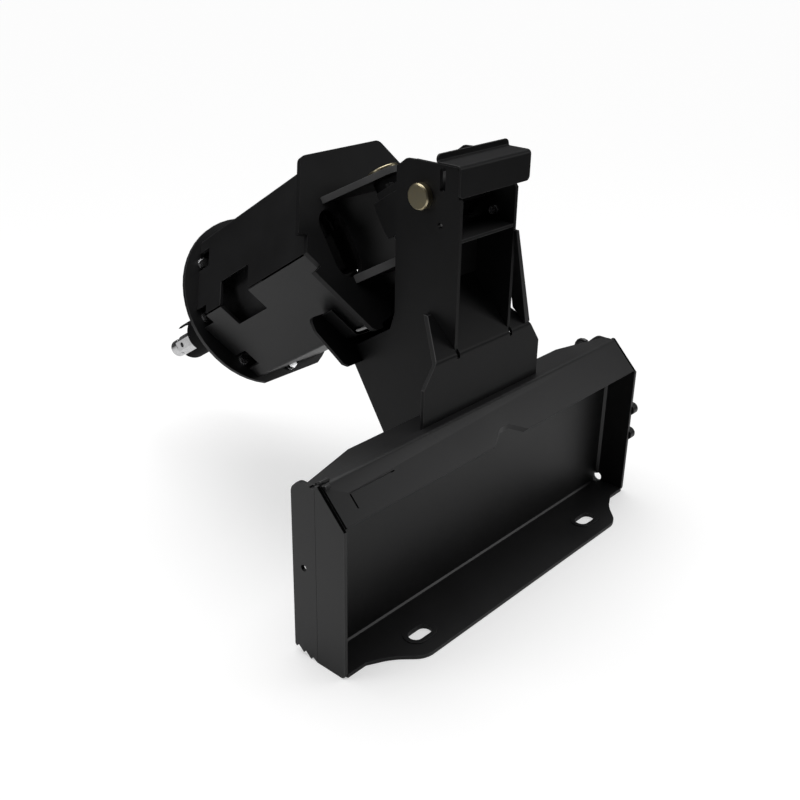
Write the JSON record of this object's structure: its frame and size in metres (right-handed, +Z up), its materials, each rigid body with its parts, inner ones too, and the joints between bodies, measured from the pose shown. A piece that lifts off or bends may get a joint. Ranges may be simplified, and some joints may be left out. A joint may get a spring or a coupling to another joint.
{
  "type": "earth auger drive",
  "caption": "Hydraulic earth auger drive on a loader quick-attach mount, held by a swinging two-pin knuckle over a cradle, with a hexagonal output shaft.",
  "frame": {"origin": "centre of the attachment face on the back plate, half way up the tray", "axes": "+X to the operator's right, +Y away from the loader along the drive, +Z up"},
  "size_m": [1.1583, 1.4078, 1.0543],
  "materials": {
    "black_paint": "semi-matt black powder coat",
    "cut_edge_paint": "semi-matt black powder coat, worn to grey on cut edges",
    "gold_zinc": "yellow zinc plate",
    "bright_zinc": "bright zinc plate",
    "bare_steel": "machined steel",
    "gear_steel": "oiled gear steel",
    "cast_case": "painted cast iron",
    "seal_rubber": "moulded rubber"
  },
  "bodies": {
    "mount": {"back_plate": "black_paint", "wing_left": "black_paint", "wing_right": "black_paint", "step_plate_left": "black_paint", "step_plate_right": "black_paint", "top_lip": "black_paint", "top_brace": "black_paint", "apron": "black_paint", "mast_plate_left": "black_paint", "mast_plate_right": "black_paint", "mast_cap": "black_paint", "mast_shelf": "black_paint", "cradle_seat": "black_paint", "cradle_flange": "black_paint", "main_pin": "gold_zinc", "main_pin_ring": "bright_zinc", "wing_bolt_upper": "black_paint", "wing_bolt_lower": "black_paint", "lock_bolt": "bright_zinc"},
    "knuckle": {"knuckle_side_left": "black_paint", "knuckle_side_right": "black_paint", "knuckle_pin_tube": "black_paint", "knuckle_swivel_tube": "black_paint", "knuckle_top_plate": "black_paint", "knuckle_bottom_plate": "black_paint"},
    "drive": {"ear_upper": "cut_edge_paint", "ear_lower": "cut_edge_paint", "swivel_pin": "gold_zinc", "swivel_pin_ring": "bright_zinc", "face_plate": "black_paint", "shell_upper": "black_paint", "shell_lower": "black_paint", "flange_disc": "black_paint", "flange_bolt_1": "bright_zinc", "flange_bolt_2": "bright_zinc", "flange_bolt_3": "bright_zinc", "flange_bolt_4": "bright_zinc", "flange_bolt_5": "bright_zinc", "flange_bolt_6": "bright_zinc", "flange_bolt_7": "bright_zinc", "flange_bolt_8": "bright_zinc", "motor_body": "cast_case", "motor_end_cover": "cast_case", "case_rear_cover": "cast_case", "gear_case": "cast_case", "ring_gear": "gear_steel", "output_housing": "black_paint", "bearing_cup_rear": "gear_steel", "bearing_cup_front": "gear_steel", "shaft_seal": "seal_rubber", "output_guard": "black_paint"},
    "output": {"output_shaft": "bare_steel", "lock_nut": "bright_zinc", "planet_carrier": "gear_steel", "bearing_cone_rear": "gear_steel", "bearing_cone_front": "gear_steel"},
    "sun": {"sun_shaft": "gear_steel"},
    "planet_1": {"planet_gear_1": "gear_steel"},
    "planet_2": {"planet_gear_2": "gear_steel"},
    "planet_3": {"planet_gear_3": "gear_steel"}
  },
  "joints": [
    {"name": "knuckle_swing", "type": "hinge", "parent": "mount", "child": "knuckle", "pos_m": [0, 0.128, 0.724], "axis": [1, 0, 0], "range_deg": [0, 90]},
    {"name": "drive_swivel", "type": "hinge", "parent": "knuckle", "child": "drive", "pos_m": [0, 0.2798, 0.62542], "axis": [0, 0.5446, 0.8387], "range_deg": [-1.5, 1.5]},
    {"name": "output_spin", "type": "hinge", "parent": "drive", "child": "output", "pos_m": [0, 0.66559, 0.37489], "axis": [0, 0.8387, -0.5446], "continuous": true},
    {"name": "sun_spin", "type": "hinge", "parent": "drive", "child": "sun", "pos_m": [0, 0.66559, 0.37489], "axis": [0, 0.8387, -0.5446], "continuous": true},
    {"name": "planet_1_spin", "type": "hinge", "parent": "output", "child": "planet_1", "pos_m": [0.075, 0.66559, 0.37489], "axis": [0, 0.8387, -0.5446], "continuous": true},
    {"name": "planet_2_spin", "type": "hinge", "parent": "output", "child": "planet_2", "pos_m": [-0.0375, 0.63021, 0.32041], "axis": [0, 0.8387, -0.5446], "continuous": true},
    {"name": "planet_3_spin", "type": "hinge", "parent": "output", "child": "planet_3", "pos_m": [-0.0375, 0.70096, 0.42936], "axis": [0, 0.8387, -0.5446], "continuous": true}
  ],
  "couplings": [
    {"joint": "sun_spin", "follows": "output_spin", "ratio": 4},
    {"joint": "planet_1_spin", "follows": "output_spin", "ratio": -3},
    {"joint": "planet_2_spin", "follows": "output_spin", "ratio": -3},
    {"joint": "planet_3_spin", "follows": "output_spin", "ratio": -3}
  ]
}
